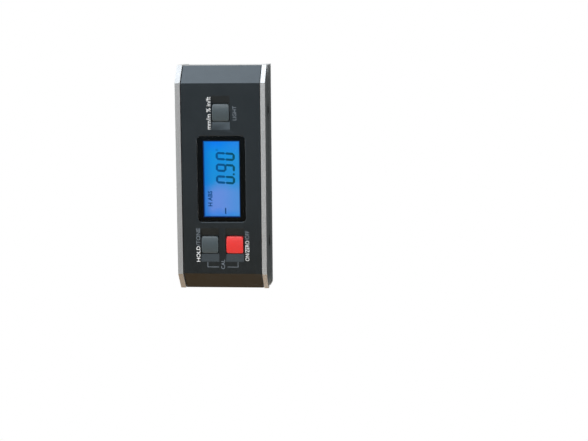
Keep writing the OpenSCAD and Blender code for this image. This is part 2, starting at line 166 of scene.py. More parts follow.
class Bench:
    """One mesh on the workbench, shaped by Blender's operators."""

    def __init__(self, piece: Piece, name: str) -> None:
        """Takes the object to work on and names it."""
        self.piece = piece
        piece.name = piece.data.name = name

    @classmethod
    def block(cls, name: str, low: Sequence[float], high: Sequence[float]) -> "Bench":
        """Adds a block at its size and place.

        Args:
            name: The piece's name.
            low: Its lowest corner.
            high: Its highest corner.

        Returns:
            The bench that holds it.
        """
        low, high = Vector(low), Vector(high)
        select_only()
        bpy.ops.mesh.primitive_cube_add(size=1.0, location=(low + high) / 2)
        bpy.context.object.scale = high - low
        bpy.ops.object.transform_apply(location=True, rotation=True, scale=True)
        return cls(bpy.context.object, name)

    @classmethod
    def copy_of(cls, node: str, name: str) -> "Bench":
        """Copies a CAD node's mesh, merged into one skin with whole flat faces.

        Args:
            node: The CAD node.
            name: The copy's name.

        Returns:
            The bench that holds the copy.
        """
        bench = cls(bpy.data.objects.new(name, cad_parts[node].data.copy()), name)
        bench.piece.data.materials.clear()
        bpy.context.scene.collection.objects.link(bench.piece)
        bench.merge()
        bpy.ops.mesh.customdata_custom_splitnormals_clear()
        return bench

    @classmethod
    def words(cls, name: str, text: str, thickness: float, bold: float = 0.0) -> "Bench":
        """Sets words upright on the front, as a mesh at the origin.

        Args:
            name: The piece's name.
            text: The words.
            thickness: How thick the print is.
            bold: How much the strokes swell, as a share of the letters' height.

        Returns:
            The bench that holds them.
        """
        select_only()
        bpy.ops.object.text_add()
        font = bpy.context.object.data
        font.body, font.offset, font.resolution_u = text, bold, 4
        bpy.ops.object.convert(target="MESH")
        bench = cls(bpy.context.object, name)
        bench.merge()
        bench.piece.data.transform(Matrix.Rotation(math.pi / 2, 4, "X"))
        bench.modify("SOLIDIFY", thickness=thickness, offset=0.0)
        return bench

    def merge(self) -> None:
        """Merges doubled points and makes each flat face whole."""
        with editing(self.piece, FACES_MODE, whole=True):
            bpy.ops.mesh.remove_doubles(threshold=NEAR)
            bpy.ops.mesh.dissolve_limited(angle_limit=math.radians(FLAT_ANGLE))

    def fit(self, low: Sequence[float], high: Sequence[float]) -> None:
        """Moves and scales the mesh into a box.

        Args:
            low: The box's lowest corner.
            high: The box's highest corner.
        """
        sides = list(zip(*(point.co for point in self.piece.data.vertices)))
        start = Vector(map(min, sides))
        size = [(h - a) / max(max(side) - min(side), NEAR) for side, a, h in zip(sides, low, high)]
        move = Matrix.Translation(low) @ Matrix.Diagonal((*size, 1.0))
        self.piece.data.transform(move @ Matrix.Translation(-start))

    def modify(self, kind: str, **settings: Any) -> None:
        """Adds a modifier and applies it.

        Args:
            kind: The modifier's type.
            **settings: Its settings.
        """
        modifier = self.piece.modifiers.new(kind.lower(), kind)
        for key, value in settings.items():
            setattr(modifier, key, value)
        select_only(self.piece)
        bpy.ops.object.modifier_apply(modifier=modifier.name)

    def pick(self, parts: Any, picked: Sequence[bool]) -> None:
        """Selects some parts of the mesh and nothing else.

        Args:
            parts: The mesh's edges or faces.
            picked: Whether each of them is selected.
        """
        mesh = self.piece.data
        for group in (mesh.vertices, mesh.edges, mesh.polygons):
            group.foreach_set("select", [False] * len(group))
        parts.foreach_set("select", picked)

    def pick_faces(self, test: Pick) -> None:
        """Selects the faces whose centre and normal pass a test."""
        faces = self.piece.data.polygons
        self.pick(faces, [test(face.center, face.normal) for face in faces])

    def pick_edges(self, test: Pick) -> None:
        """Selects the edges whose two ends pass a test."""
        edges, points = self.piece.data.edges, self.piece.data.vertices
        self.pick(edges, [test(*(points[end].co for end in edge.vertices)) for edge in edges])

    def bevel(self, test: Pick, width: float, segments: int) -> None:
        """Rounds the picked edges.

        Args:
            test: Picks the edges by their two ends.
            width: How far the rounding reaches.
            segments: How many steps it has.
        """
        self.pick_edges(test)
        with editing(self.piece, EDGES_MODE):
            bpy.ops.mesh.bevel(
                offset=width, segments=segments, profile=0.5, affect="EDGES", clamp_overlap=False)

    def inset(self, test: Pick, width: float) -> None:
        """Insets the picked faces.

        Args:
            test: Picks the faces by centre and normal.
            width: The inset's width.
        """
        self.pick_faces(test)
        with editing(self.piece, FACES_MODE):
            bpy.ops.mesh.inset(thickness=width, depth=0.0)

    def extrude(self, test: Pick, along: Vec, swell: Vec = (1.0, 1.0, 1.0)) -> None:
        """Extrudes the picked faces, and swells or shrinks their end.

        Args:
            test: Picks the faces by centre and normal.
            along: Which way and how far.
            swell: The end's scale about its own middle.
        """
        self.pick_faces(test)
        picked = [face.center.copy() for face in self.piece.data.polygons if face.select]
        middle = sum(picked, Vector()) / len(picked) + Vector(along)
        with editing(self.piece, FACES_MODE):
            bpy.ops.mesh.extrude_region_move(TRANSFORM_OT_translate={"value": along})
            bpy.ops.transform.resize(value=swell, center_override=middle)

    def slice(self, place: Vec, normal: Vec) -> None:
        """Cuts every face along the plane through a place with a normal."""
        with editing(self.piece, FACES_MODE, whole=True):
            bpy.ops.mesh.bisect(plane_co=place, plane_no=normal)

    def drop(self, test: Pick) -> None:
        """Deletes the picked faces.

        Args:
            test: Picks the faces by centre and normal.
        """
        self.pick_faces(test)
        with editing(self.piece, FACES_MODE):
            bpy.ops.mesh.delete(type="FACE")

    def wall_hole(self) -> None:
        """Walls a hole by bridging its two open rims."""
        with editing(self.piece, EDGES_MODE):
            bpy.ops.mesh.select_all(action="DESELECT")
            bpy.ops.mesh.select_non_manifold()
            bpy.ops.mesh.bridge_edge_loops()

    def cut(self, cutter: "Bench", operation: str = "DIFFERENCE") -> None:
        """Cuts this piece by another one and discards that one."""
        self.modify("BOOLEAN", operation=operation, solver="EXACT", object=cutter.piece)
        cutter.discard()

    def weigh_edges(self) -> None:
        """Gives full bevel weight to the sharp edges that stand out."""
        mesh = self.piece.data
        sides: Dict[Tuple[int, int], Vector] = {}
        for face in mesh.polygons:
            ring = list(face.vertices)
            for start, end in zip(ring, ring[1:] + ring[:1]):
                sides[start, end] = face.normal.copy()
        weights = []
        for edge in mesh.edges:
            start, end = edge.vertices
            here, there = sides[start, end], sides[end, start]
            inward = here.cross(mesh.vertices[end].co - mesh.vertices[start].co)
            sharp = here.angle(there) > math.radians(SHARP_ANGLE)
            weights.append(float(sharp and there.dot(inward) < 0.0))
        weighed = mesh.attributes.new("bevel_weight_edge", "FLOAT", "EDGE")
        weighed.data.foreach_set("value", weights)

    def soften(self, width: float, smooth: float = SMOOTH_ANGLE) -> None:
        """Breaks every sharp edge that stands out, marks the new faces for wear and painted edge highlight,
        and evens the normals.

        Args:
            width: The width of the broken edge.
            smooth: The greatest angle of an edge that is shaded smooth.
        """
        mesh = self.piece.data
        for _ in range(2):
            mesh.materials.append(None)
        self.weigh_edges()
        self.modify(
            "BEVEL", width=width, segments=2, material=1, limit_method="WEIGHT", use_clamp_overlap=False)
        with editing(self.piece, FACES_MODE, whole=True):
            bpy.ops.mesh.dissolve_degenerate(threshold=NEAR)
        mark = mesh.attributes.new(EDGE_MARK, "FLOAT", "FACE")
        mark.data.foreach_set("value", [float(face.material_index) for face in mesh.polygons])
        mesh.polygons.foreach_set("material_index", [0] * len(mesh.polygons))
        mesh.materials.clear()
        self.smooth(smooth)

    def smooth(self, angle: float = SMOOTH_ANGLE) -> None:
        """Shades curved faces smooth and keeps flat faces flat.

        Args:
            angle: The angle above which an edge stays sharp.
        """
        select_only(self.piece)
        bpy.ops.object.shade_smooth_by_angle(angle=math.radians(angle))
        self.modify("WEIGHTED_NORMAL", weight=100, keep_sharp=True)

    def copy(self, name: str, place: Matrix) -> "Bench":
        """Copies the piece with a mesh of its own.

        Args:
            name: The copy's name.
            place: The matrix that places the copy's mesh.

        Returns:
            The bench that holds the copy.
        """
        twin = bpy.data.objects.new(name, self.piece.data.copy())
        twin.data.transform(place)
        bpy.context.scene.collection.objects.link(twin)
        return Bench(twin, name)

    def join(self, *others: "Bench") -> None:
        """Joins other pieces into this one."""
        select_only(self.piece, *(other.piece for other in others))
        bpy.ops.object.join()

    def discard(self) -> None:
        """Removes a cutter, or a pattern that has been copied."""
        bpy.data.objects.remove(self.piece)


class NodeSheet:
    """A node tree with short calls that add and join nodes."""

    def __init__(self, tree: bpy.types.NodeTree) -> None:
        """Takes the tree to work on."""
        self.tree = tree

    def add(self, kind: str, inputs: Optional[Mapping[Any, Any]] = None, **settings: Any) -> Node:
        """Adds a node, sets it and joins its inputs.

        Args:
            kind: The node's type, without the ShaderNode prefix.
            inputs: Values, or sockets to join, by input name or number.
            **settings: The node's own settings.

        Returns:
            The node.
        """
        node = self.tree.nodes.new("ShaderNode" + kind)
        for key, value in settings.items():
            setattr(node, key, value)
        for key, value in (inputs or {}).items():
            if isinstance(value, Socket):
                self.tree.links.new(value, node.inputs[key])
            else:
                node.inputs[key].default_value = value
        return node

    def math(self, operation: str, first: Any, second: Any = 0.0, clamp: bool = False) -> Socket:
        """Adds a Math node on two values or sockets and gives its result."""
        return self.add("Math", {0: first, 1: second}, operation=operation, use_clamp=clamp).outputs[0]

    def ramp(self, value: Socket, start: float, end: float, low: float = 0.0, high: float = 1.0) -> Socket:
        """Adds a smooth Map Range node from start and end to low and high."""
        inputs = {"Value": value, "From Min": start, "From Max": end, "To Min": low, "To Max": high}
        return self.add("MapRange", inputs, interpolation_type="SMOOTHSTEP").outputs[0]

    def blend(self, share: Any, first: Any, second: Any) -> Socket:
        """Adds a colour Mix node that shows a share of the second colour."""
        return self.add("Mix", {0: share, 6: first, 7: second}, data_type="RGBA").outputs[2]

    def shader(self, inputs: Mapping[str, Any]) -> Socket:
        """Adds a Principled shader and gives its socket."""
        return self.add("BsdfPrincipled", inputs).outputs[0]

    def effect(self, effect: Effect, **values: Any) -> Socket:
        """Places a shared effect on the object coordinates and gives its result."""
        inputs = {"Vector": self.coords, **values}
        return self.add("Group", inputs, node_tree=bpy.data.node_groups[effect.value]).outputs[0]

    @cached_property
    def coords(self) -> Socket:
        """The object coordinates."""
        return self.add("TexCoord").outputs["Object"]

    def axes(self) -> Sequence[Socket]:
        """Gives the X, Y and Z of the object coordinates."""
        return self.add("SeparateXYZ", {0: self.coords}).outputs


@dataclass(frozen=True)
class SharedEffects:
    """The node groups that several finishes share, each built once.

    Attributes:
        grain_noise: How much of the grain is noise.
        grain_pits: How much of it is pits.
        tone_range: The noise between which the mottle goes from dark to pale.
        mark_range: The noise between which rub marks fade in.
    """

    grain_noise: float = 0.7
    grain_pits: float = 0.5
    tone_range: Tuple[float, float] = (0.3, 0.7)
    mark_range: Tuple[float, float] = (0.35, 0.68)

    def build(self) -> None:
        """Builds the grain, the mottle and the edge wear."""
        self.build_grain()
        self.build_mottle()
        self.build_wear()

    @staticmethod
    def start(effect: Effect, output: str, **values: float) -> Tuple[NodeSheet, Any]:
        """Starts a group that takes a position and values and gives one result.

        Args:
            effect: Which effect it is.
            output: Its result's name.
            **values: The names and defaults of its values.

        Returns:
            The group's sheet and the sockets of what it is given.
        """
        tree = bpy.data.node_groups.new(effect.value, "ShaderNodeTree")
        tree.interface.new_socket(name="Vector", in_out="INPUT", socket_type="NodeSocketVector")
        for name, default in values.items():
            socket = tree.interface.new_socket(name=name, in_out="INPUT", socket_type="NodeSocketFloat")
            socket.default_value = default
        tree.interface.new_socket(name=output, in_out="OUTPUT", socket_type="NodeSocketFloat")
        return NodeSheet(tree), tree.nodes.new("NodeGroupInput").outputs

    @staticmethod
    def texture(sheet: NodeSheet, given: Any, kind: str, **values: float) -> Node:
        """Adds a texture at the size that the group is given.

        Args:
            sheet: The group's sheet.
            given: The sockets of what it is given.
            kind: The texture node's type.
            **values: The texture's other values.

        Returns:
            The texture node.
        """
        scale = sheet.math("DIVIDE", 1.0, given["Size"])
        return sheet.add(kind, {"Vector": given["Vector"], "Scale": scale, **values})

    @staticmethod
    def end(sheet: NodeSheet, result: Socket) -> None:
        """Joins a group's result to its output."""
        sheet.tree.links.new(result, sheet.tree.nodes.new("NodeGroupOutput").inputs[0])

    def build_grain(self) -> None:
        """Builds the fine grain of a blasted or spark-eroded surface."""
        sheet, given = self.start(Effect.GRAIN, "Grain", Size=0.2 * MM)
        noise = self.texture(sheet, given, "TexNoise", Detail=2.0, Roughness=0.6).outputs[0]
        pits = self.texture(sheet, given, "TexVoronoi", Randomness=1.0).outputs["Distance"]
        noise = sheet.math("MULTIPLY", noise, self.grain_noise)
        pits = sheet.math("MULTIPLY", pits, self.grain_pits)
        self.end(sheet, sheet.math("ADD", noise, pits, clamp=True))

    def build_mottle(self) -> None:
        """Builds the broad, slow changes of tone over a surface."""
        sheet, given = self.start(Effect.MOTTLE, "Tone", Size=4.0 * MM)
        noise = self.texture(sheet, given, "TexNoise", Detail=4.0, Roughness=0.55).outputs[0]
        self.end(sheet, sheet.ramp(noise, *self.tone_range))

    def build_wear(self) -> None:
        """Builds the broken rub marks along marked edges."""
        sheet, given = self.start(Effect.WEAR, "Wear", Edge=0.0, Size=1.5 * MM, Reach=0.5)
        noise = self.texture(sheet, given, "TexNoise", Detail=5.0, Roughness=0.65).outputs[0]
        share = sheet.math("MULTIPLY", sheet.ramp(noise, *self.mark_range), given["Reach"])
        self.end(sheet, sheet.math("MULTIPLY", share, given["Edge"], clamp=True))


@dataclass(frozen=True)
class Finish:
    """A finish, made as a material of its own name."""

    name: str

    def paint(self, sheet: NodeSheet) -> Socket:
        """Lays the finish's nodes and gives the shader's socket."""
        raise NotImplementedError

    def make(self) -> Material:
        """Builds the material.

        Returns:
            The material.
        """
        material = bpy.data.materials.new(self.name)
        material.use_nodes = True
        material.node_tree.nodes.clear()
        sheet = NodeSheet(material.node_tree)
        sheet.add("OutputMaterial", {"Surface": self.paint(sheet)})
        return material


@dataclass(frozen=True)
class PaintedLight:
    """Painted light: a slow change of a finish's colour along one axis, standing in for light and shade
    that fall unevenly along the level.

    Attributes:
        axis: 0, 1 or 2 for X, Y or Z.
        start: Where the change starts.
        end: Where it is complete.
        share: How much of the new colour shows there.
        colour: The new colour.
    """

    axis: int
    start: float
    end: float
    share: float
    colour: Colour


@dataclass(frozen=True)
class SurfaceFinish(Finish):
    """A moulded, blasted, plated or printed surface.

    Attributes:
        dark: Its colour in the darker patches.
        pale: Its colour in the paler patches.
        worn_and_highlight: The colour that shows on rubbed edges, which on the panel is partly a painted
            highlight.
        metallic: 1 for bare metal.
        roughness: The middle roughness.
        spread: How far the roughness strays from it.
        spread_range: The tone between which it goes from the roughest to the smoothest.
        specular: The strength of its plain reflections.
        tint: The colour of its plain reflections.
        grain: The size of its grain.
        depth: The depth of its grain.
        patch: The size of its patches.
        patchy: The share of the tone that follows the patches, the rest following the grain.
        wear_and_highlight: How much of an edge is rubbed, and so how much of the worn colour and its
            painted highlight shows.
        sheen: The strength of the pale sheen seen along its edges.
        painted_light: The painted light that changes its colour from one side of the level to the other.
    """

    dark: Colour
    pale: Colour
    worn_and_highlight: Colour
    metallic: float = 0.0
    roughness: float = 0.5
    spread: float = 0.08
    spread_range: Tuple[float, float] = (0.15, 0.85)
    specular: float = 0.5
    tint: Colour = WHITE
    grain: float = 0.16 * MM
    depth: float = 0.012 * MM
    patch: float = 5.0 * MM
    patchy: float = 0.35
    wear_and_highlight: float = 0.4
    sheen: float = 0.0
    painted_light: Optional[PaintedLight] = None

    def paint(self, sheet: NodeSheet) -> Socket:
        """Lays grain, patches, rubbed edges with their partly painted highlight, and painted light.

        Args:
            sheet: The material's sheet.

        Returns:
            The shader's socket.
        """
        grain = sheet.effect(Effect.GRAIN, Size=self.grain)
        tone = sheet.effect(Effect.MOTTLE, Size=self.patch)
        # Marked edges take the worn colour: real rub marks, and on the panel partly a painted highlight.
        edge = sheet.add("Attribute", attribute_name=EDGE_MARK).outputs["Fac"]
        wear_and_highlight = sheet.effect(Effect.WEAR, Edge=edge, Reach=self.wear_and_highlight)
        broad = sheet.math("MULTIPLY", tone, self.patchy)
        fine = sheet.math("ADD", broad, sheet.math("MULTIPLY", grain, 1.0 - self.patchy))
        colour = sheet.blend(wear_and_highlight, sheet.blend(fine, self.dark, self.pale), self.worn_and_highlight)
        # Painted light: the colour darkens and tints along one axis where less light falls.
        if self.painted_light:
            place = sheet.axes()[self.painted_light.axis]
            share = sheet.ramp(place, self.painted_light.start, self.painted_light.end, 0.0, self.painted_light.share)
            colour = sheet.blend(share, colour, self.painted_light.colour)
        roughest, smoothest = self.roughness + self.spread, self.roughness - self.spread
        rough = sheet.ramp(fine, *self.spread_range, roughest, smoothest)
        bump = sheet.add("Bump", {"Height": grain, "Strength": 1.0, "Distance": self.depth}).outputs[0]
        return sheet.shader({
            "Base Color": colour, "Roughness": rough, "Normal": bump, "Metallic": self.metallic,
            "Specular IOR Level": self.specular, "Specular Tint": self.tint, "Sheen Weight": self.sheen,
            "Sheen Roughness": 0.4,
        })


@dataclass(frozen=True)
class ClearPlate(Finish):
    """Polished clear plastic with a faint haze of handling.

    Attributes:
        clear: The roughness where it is clear.
        hazed: The roughness where it is hazed.
        patch: The size of the hazed patches.
        haze_range: The tone between which it goes from clear to hazed.
    """

    clear: float = 0.01
    hazed: float = 0.03
    patch: float = 7.0 * MM
    haze_range: Tuple[float, float] = (0.2, 1.0)

    def paint(self, sheet: NodeSheet) -> Socket:
        """Lays the haze over the clear plastic.

        Args:
            sheet: The material's sheet.

        Returns:
            The shader's socket.
        """
        tone = sheet.effect(Effect.MOTTLE, Size=self.patch)
        haze = sheet.ramp(tone, *self.haze_range, self.clear, self.hazed)
        return sheet.shader({
            "Base Color": WHITE, "Roughness": haze, "IOR": 1.49, "Transmission Weight": 1.0,
        })


@dataclass(frozen=True)
class BacklitGlass(Finish):
    """The display's glowing face, with the uneven glow of its light guide.

    Attributes:
        low: The lit area's lowest X and Z.
        high: The lit area's highest X and Z.
        along: The glow's colours from the left end to the right, with their places.
        lower: The colour that the glow takes towards the lower edge.
        upper: The colour that it takes towards the upper edge.
        rim: The colour at the very edge.
        stray: How far patches of the glow stray along the display, as a share of its length.
        patch: The size of those patches.
        lower_reach: How far the lower colour reaches.
        lower_share: How much of it shows at the edge.
        upper_reach: How far the upper colour reaches.
        upper_share: How much of it shows at the edge.
        rim_width: How wide the rim is.
        grain: The size of the glow's grain.
        grainy: How much of the upper colour the grain shows.
    """

    low: Tuple[float, float]
    high: Tuple[float, float]
    along: Tuple[Tuple[float, Colour], ...]
    lower: Colour
    upper: Colour
    rim: Colour
    stray: float = 0.12
    patch: float = 16.0 * MM
    lower_reach: float = 11.0 * MM
    lower_share: float = 0.5
    upper_reach: float = 5.0 * MM
    upper_share: float = 0.85
    rim_width: float = 0.75 * MM
    grain: float = 0.4 * MM
    grainy: float = 0.08

    def paint(self, sheet: NodeSheet) -> Socket:
        """Lays the glow along the display, its edges and its grain.

        Args:
            sheet: The material's sheet.

        Returns:
            The shader's socket.
        """
        x, _, z = sheet.axes()
        (left, foot), (right, head) = self.low, self.high
        patches = sheet.math("SUBTRACT", sheet.effect(Effect.MOTTLE, Size=self.patch), 0.5)
        share = sheet.add("MapRange", {"Value": x, "From Min": left, "From Max": right}).outputs[0]
        share = sheet.math("ADD", share, sheet.math("MULTIPLY", patches, self.stray), clamp=True)
        glow = sheet.add("ValToRGB", {0: share})
        stops = glow.color_ramp.elements
        for index, (place, colour) in enumerate(self.along):
            stop = stops[index] if index < 2 else stops.new(place)
            stop.position, stop.color = place, colour
        lower = sheet.ramp(z, foot + self.lower_reach, foot, 0.0, self.lower_share)
        upper = sheet.ramp(z, head - self.upper_reach, head, 0.0, self.upper_share)
        colour = sheet.blend(upper, sheet.blend(lower, glow.outputs[0], self.lower), self.upper)
        nearest = sheet.math("SUBTRACT", x, left)
        for more, less in ((right, x), (z, foot), (head, z)):
            nearest = sheet.math("MINIMUM", nearest, sheet.math("SUBTRACT", more, less))
        colour = sheet.blend(sheet.ramp(nearest, self.rim_width, 0.0), colour, self.rim)
        grain = sheet.math("MULTIPLY", sheet.effect(Effect.GRAIN, Size=self.grain), self.grainy)
        return sheet.shader({
            "Base Color": srgb(6, 10, 16), "Roughness": 0.3, "Specular IOR Level": 0.1,
            "Emission Color": sheet.blend(grain, colour, self.upper), "Emission Strength": 1.0,
        })


@dataclass(frozen=True)
class SegmentInk(Finish):
    """The darkened liquid crystal of a lit figure, tinted by the light behind it.

    Attributes:
        left: Its colour towards the left.
        lower: Its colour towards the foot of the figures.
        upper: Its colour towards their head.
        rise: The heights between which it goes from lower to upper.
        run: The places along X between which it goes over to left.
        grain: The size of its grain.
        grainy: How much of the upper colour the grain shows.
    """

    left: Colour
    lower: Colour
    upper: Colour
    rise: Tuple[float, float] = (15.0 * MM, 23.5 * MM)
    run: Tuple[float, float] = (-2.0 * MM, -12.0 * MM)
    grain: float = 0.3 * MM
    grainy: float = 0.15

    def paint(self, sheet: NodeSheet) -> Socket:
        """Lays the ink's tints and its grain.

        Args:
            sheet: The material's sheet.

        Returns:
            The shader's socket.
        """
        x, _, z = sheet.axes()
        colour = sheet.blend(sheet.ramp(z, *self.rise), self.lower, self.upper)
        colour = sheet.blend(sheet.ramp(x, *self.run), colour, self.left)
        grain = sheet.math("MULTIPLY", sheet.effect(Effect.GRAIN, Size=self.grain), self.grainy)
        return sheet.shader({
            "Base Color": srgb(2, 4, 6), "Roughness": 0.4, "Specular IOR Level": 0.0,
            "Emission Color": sheet.blend(grain, colour, self.upper), "Emission Strength": 1.0,
        })


@dataclass(frozen=True)
class CellSleeve(Finish):
    """A dry cell's printed sleeve with a bare steel cap at each end.

    Attributes:
        plus: 1 where the cell's plus end is at +X, and -1 where it is at -X.
        sleeve: The sleeve's colour.
        shade: The colour of its darker patches.
        band: The colour of the band at the plus end.
        steel: The caps' colour.
        band_start: Where the band starts.
        cap_start: Where the caps start.
        patch: The size of the patches.
        patchy: How much they show.
        grain: The size of the grain.
        grain_range: The grain between which the roughness goes from smooth to rough.
        smooth: The least roughness.
        rough: The greatest roughness.
    """

    plus: float
    sleeve: Colour = srgb(28, 84, 150)
    shade: Colour = srgb(20, 40, 70)
    band: Colour = srgb(196, 168, 112)
    steel: Colour = srgb(190, 190, 186)
    band_start: float = 9.0 * MM
    cap_start: float = 21.2 * MM
    patch: float = 3.0 * MM
    patchy: float = 0.25
    grain: float = 0.25 * MM
    grain_range: Tuple[float, float] = (0.2, 0.9)
    smooth: float = 0.26
    rough: float = 0.4

    def paint(self, sheet: NodeSheet) -> Socket:
        """Lays the sleeve, its band and the caps.

        Args:
            sheet: The material's sheet.

        Returns:
            The shader's socket.
        """
        x = sheet.axes()[0]
        tone = sheet.math("MULTIPLY", sheet.effect(Effect.MOTTLE, Size=self.patch), self.patchy)
        grain = sheet.effect(Effect.GRAIN, Size=self.grain)
        rough = sheet.ramp(grain, *self.grain_range, self.smooth, self.rough)
        banded = sheet.math("GREATER_THAN", sheet.math("MULTIPLY", x, self.plus), self.band_start)
        bare = sheet.math("GREATER_THAN", sheet.math("ABSOLUTE", x), self.cap_start)
        colour = sheet.blend(tone, sheet.blend(banded, self.sleeve, self.band), self.shade)
        colour = sheet.blend(bare, colour, self.steel)
        return sheet.shader({"Base Color": colour, "Metallic": bare, "Roughness": rough})


@dataclass(frozen=True)
class FloorPaint(Finish):
    """The studio floor: pale and shadowed near the level, with a painted glow under the base, white further
    off, and open from below.

    Attributes:
        dark: The paint's darker tone.
        pale: Its paler tone.
        glow: The painted light under the base: a faint glow that stands in for the light on its underside.
        under: Half the length and half the depth of the area that glows.
        corner: The sum of both at which its front corners are cut off.
        soft: How wide the edge of that area is.
        near: The distance at which the paint starts to fade to white.
        far: The distance at which it is white.
        patch: The size of its patches.
    """

    dark: Colour = srgb(236, 236, 234)
    pale: Colour = srgb(240, 240, 238)
    glow: Colour = srgb(62, 65, 65)
    under: Tuple[float, float] = (53.0 * MM, 13.0 * MM)
    corner: float = 58.6 * MM
    soft: float = 1.0 * MM
    near: float = 0.12
    far: float = 0.55
    patch: float = 60.0 * MM

    def paint(self, sheet: NodeSheet) -> Socket:
        """Lays the paint, its painted glow under the base, the fade to white and the open underside.

        Args:
            sheet: The material's sheet.

        Returns:
            The shader's socket.
        """
        x, y, _ = sheet.axes()
        x = sheet.math("ABSOLUTE", x)
        # Painted light: the area under the base glows faintly to light the base's underside.
        painted_glow_area = sheet.ramp(sheet.math("SUBTRACT", x, y), self.corner, self.corner - self.soft)
        for place, half in zip((x, sheet.math("ABSOLUTE", y)), self.under):
            painted_glow_area = sheet.math("MULTIPLY", painted_glow_area, sheet.ramp(place, half, half - self.soft))
        tone = sheet.effect(Effect.MOTTLE, Size=self.patch)
        paint = sheet.shader({
            "Base Color": sheet.blend(tone, self.dark, self.pale), "Roughness": 0.8,
            "Specular IOR Level": 0.1, "Emission Color": sheet.blend(painted_glow_area, BLACK, self.glow),
            "Emission Strength": 1.0,
        })
        reach = sheet.add("VectorMath", {0: sheet.coords}, operation="LENGTH").outputs["Value"]
        seen = sheet.add("LightPath").outputs["Is Camera Ray"]
        fade = sheet.math("MULTIPLY", sheet.ramp(reach, self.near, self.far), seen)
        white = sheet.add("Emission", {0: WHITE, 1: 1.0}).outputs[0]
        upper = sheet.add("MixShader", {0: fade, 1: paint, 2: white}).outputs[0]
        below = sheet.add("NewGeometry").outputs["Backfacing"]
        open_side = sheet.add("BsdfTransparent").outputs[0]
        return sheet.add("MixShader", {0: below, 1: upper, 2: open_side}).outputs[0]


# The aluminium's colour darkens towards the top rail: painted shade, standing in for the light that falls
# less there.
ALUMINIUM = SurfaceFinish(
    "blasted_aluminium", srgb(172, 174, 175), srgb(228, 229, 229), srgb(234, 235, 235), metallic=1.0,
    roughness=0.5, spread=0.06, grain=0.45 * MM, depth=0.01 * MM, patch=3.0 * MM, patchy=0.12, wear_and_highlight=0.5,
    painted_light=PaintedLight(2, 5.0 * MM, 38.0 * MM, 0.4, srgb(150, 151, 152)))
# The panel's colour is painted light: it turns darker and warmer towards -X as painted shade with a warm
# painted reflection, and its lighter edge colour is partly a painted highlight.
PANEL = SurfaceFinish(
    "panel_black", srgb(9, 12, 15), srgb(24, 29, 33), srgb(100, 108, 112), roughness=0.34, spread=0.05,
    specular=0.95, tint=(0.78, 0.91, 1.0, 1.0), grain=0.3 * MM, depth=0.008 * MM, patchy=0.15, wear_and_highlight=0.06,
    painted_light=PaintedLight(0, 5.0 * MM, -50.0 * MM, 0.9, srgb(9, 7, 2)))
COVER = SurfaceFinish(
    "cover_black", srgb(22, 25, 28), srgb(36, 40, 43), srgb(70, 75, 78), roughness=0.48, spread=0.06,
    grain=0.28 * MM, depth=0.014 * MM, patchy=0.15, wear_and_highlight=0.3)
BORDER = SurfaceFinish(
    "border_black", srgb(3, 4, 5), srgb(7, 8, 9), srgb(12, 14, 15), roughness=0.6, specular=0.0,
    grain=0.1 * MM, depth=0.002 * MM)
KEY_GREY = SurfaceFinish(
    "key_grey", srgb(52, 64, 69), srgb(72, 85, 90), srgb(120, 132, 136), roughness=0.36, spread=0.06,
    specular=0.95, grain=0.3 * MM, depth=0.008 * MM, patch=3.0 * MM, sheen=0.1)
KEY_RED = SurfaceFinish(
    "key_red", srgb(238, 32, 28), srgb(252, 46, 40), srgb(250, 110, 102), roughness=0.36, spread=0.06,
    specular=0.95, grain=0.3 * MM, depth=0.008 * MM, patch=3.0 * MM, sheen=0.1)
# The magnets' nickel is darkened to near black as painted shade for their recess in the base.
SHADED_MAGNET = SurfaceFinish(
    "magnet_nickel", srgb(18, 18, 17), srgb(30, 30, 29), srgb(120, 120, 118), metallic=1.0, roughness=0.3,
    grain=0.5 * MM, depth=0.004 * MM, patch=1.6 * MM)
SCREW = SurfaceFinish(
    "screw_black", srgb(44, 44, 47), srgb(62, 62, 66), srgb(140, 140, 142), metallic=1.0, roughness=0.34,
    grain=0.3 * MM, depth=0.004 * MM, patch=0.8 * MM)
PLATED = SurfaceFinish(
    "contact_nickel", srgb(178, 176, 168), srgb(208, 206, 198), srgb(230, 228, 222), metallic=1.0,
    roughness=0.24, grain=0.3 * MM, depth=0.002 * MM, patch=1.5 * MM)
INK_WHITE = SurfaceFinish(
    "ink_white", srgb(242, 243, 243), srgb(252, 252, 252), srgb(252, 252, 252), roughness=0.5,
    grain=0.2 * MM, depth=0.003 * MM, patch=1.0 * MM)
INK_DIM = SurfaceFinish(
    "ink_dim", srgb(114, 123, 132), srgb(132, 141, 150), srgb(132, 141, 150), roughness=0.5,
    grain=0.2 * MM, depth=0.003 * MM, patch=1.0 * MM)
BOARD = SurfaceFinish(
    "board_green", srgb(16, 84, 42), srgb(26, 106, 56), srgb(150, 120, 70), roughness=0.32,
    grain=0.4 * MM, depth=0.01 * MM, patch=1.2 * MM)
CHIP = SurfaceFinish(
    "chip_black", srgb(24, 25, 27), srgb(36, 37, 39), srgb(60, 61, 63), roughness=0.55, grain=0.12 * MM)
GUIDE = SurfaceFinish(
    "guide_milky", srgb(226, 230, 228), srgb(240, 242, 240), srgb(244, 246, 246), roughness=0.3,
    grain=0.3 * MM, depth=0.003 * MM)
HOLDER = SurfaceFinish(
    "holder_white", srgb(214, 214, 208), srgb(228, 228, 222), srgb(236, 236, 230), roughness=0.5)
RUBBER = SurfaceFinish(
    "connector_rubber", srgb(70, 74, 82), srgb(92, 96, 104), srgb(110, 114, 120), roughness=0.7,
    patch=0.6 * MM)


def dress(piece: Piece, material: Material) -> None:
    """Gives a piece or a CAD node its one material.

    Args:
        piece: The object.
        material: The material.
    """
    piece.data.materials.clear()
    piece.data.materials.append(material)
    log.info("dressed %s in %s", piece.name, material.name)


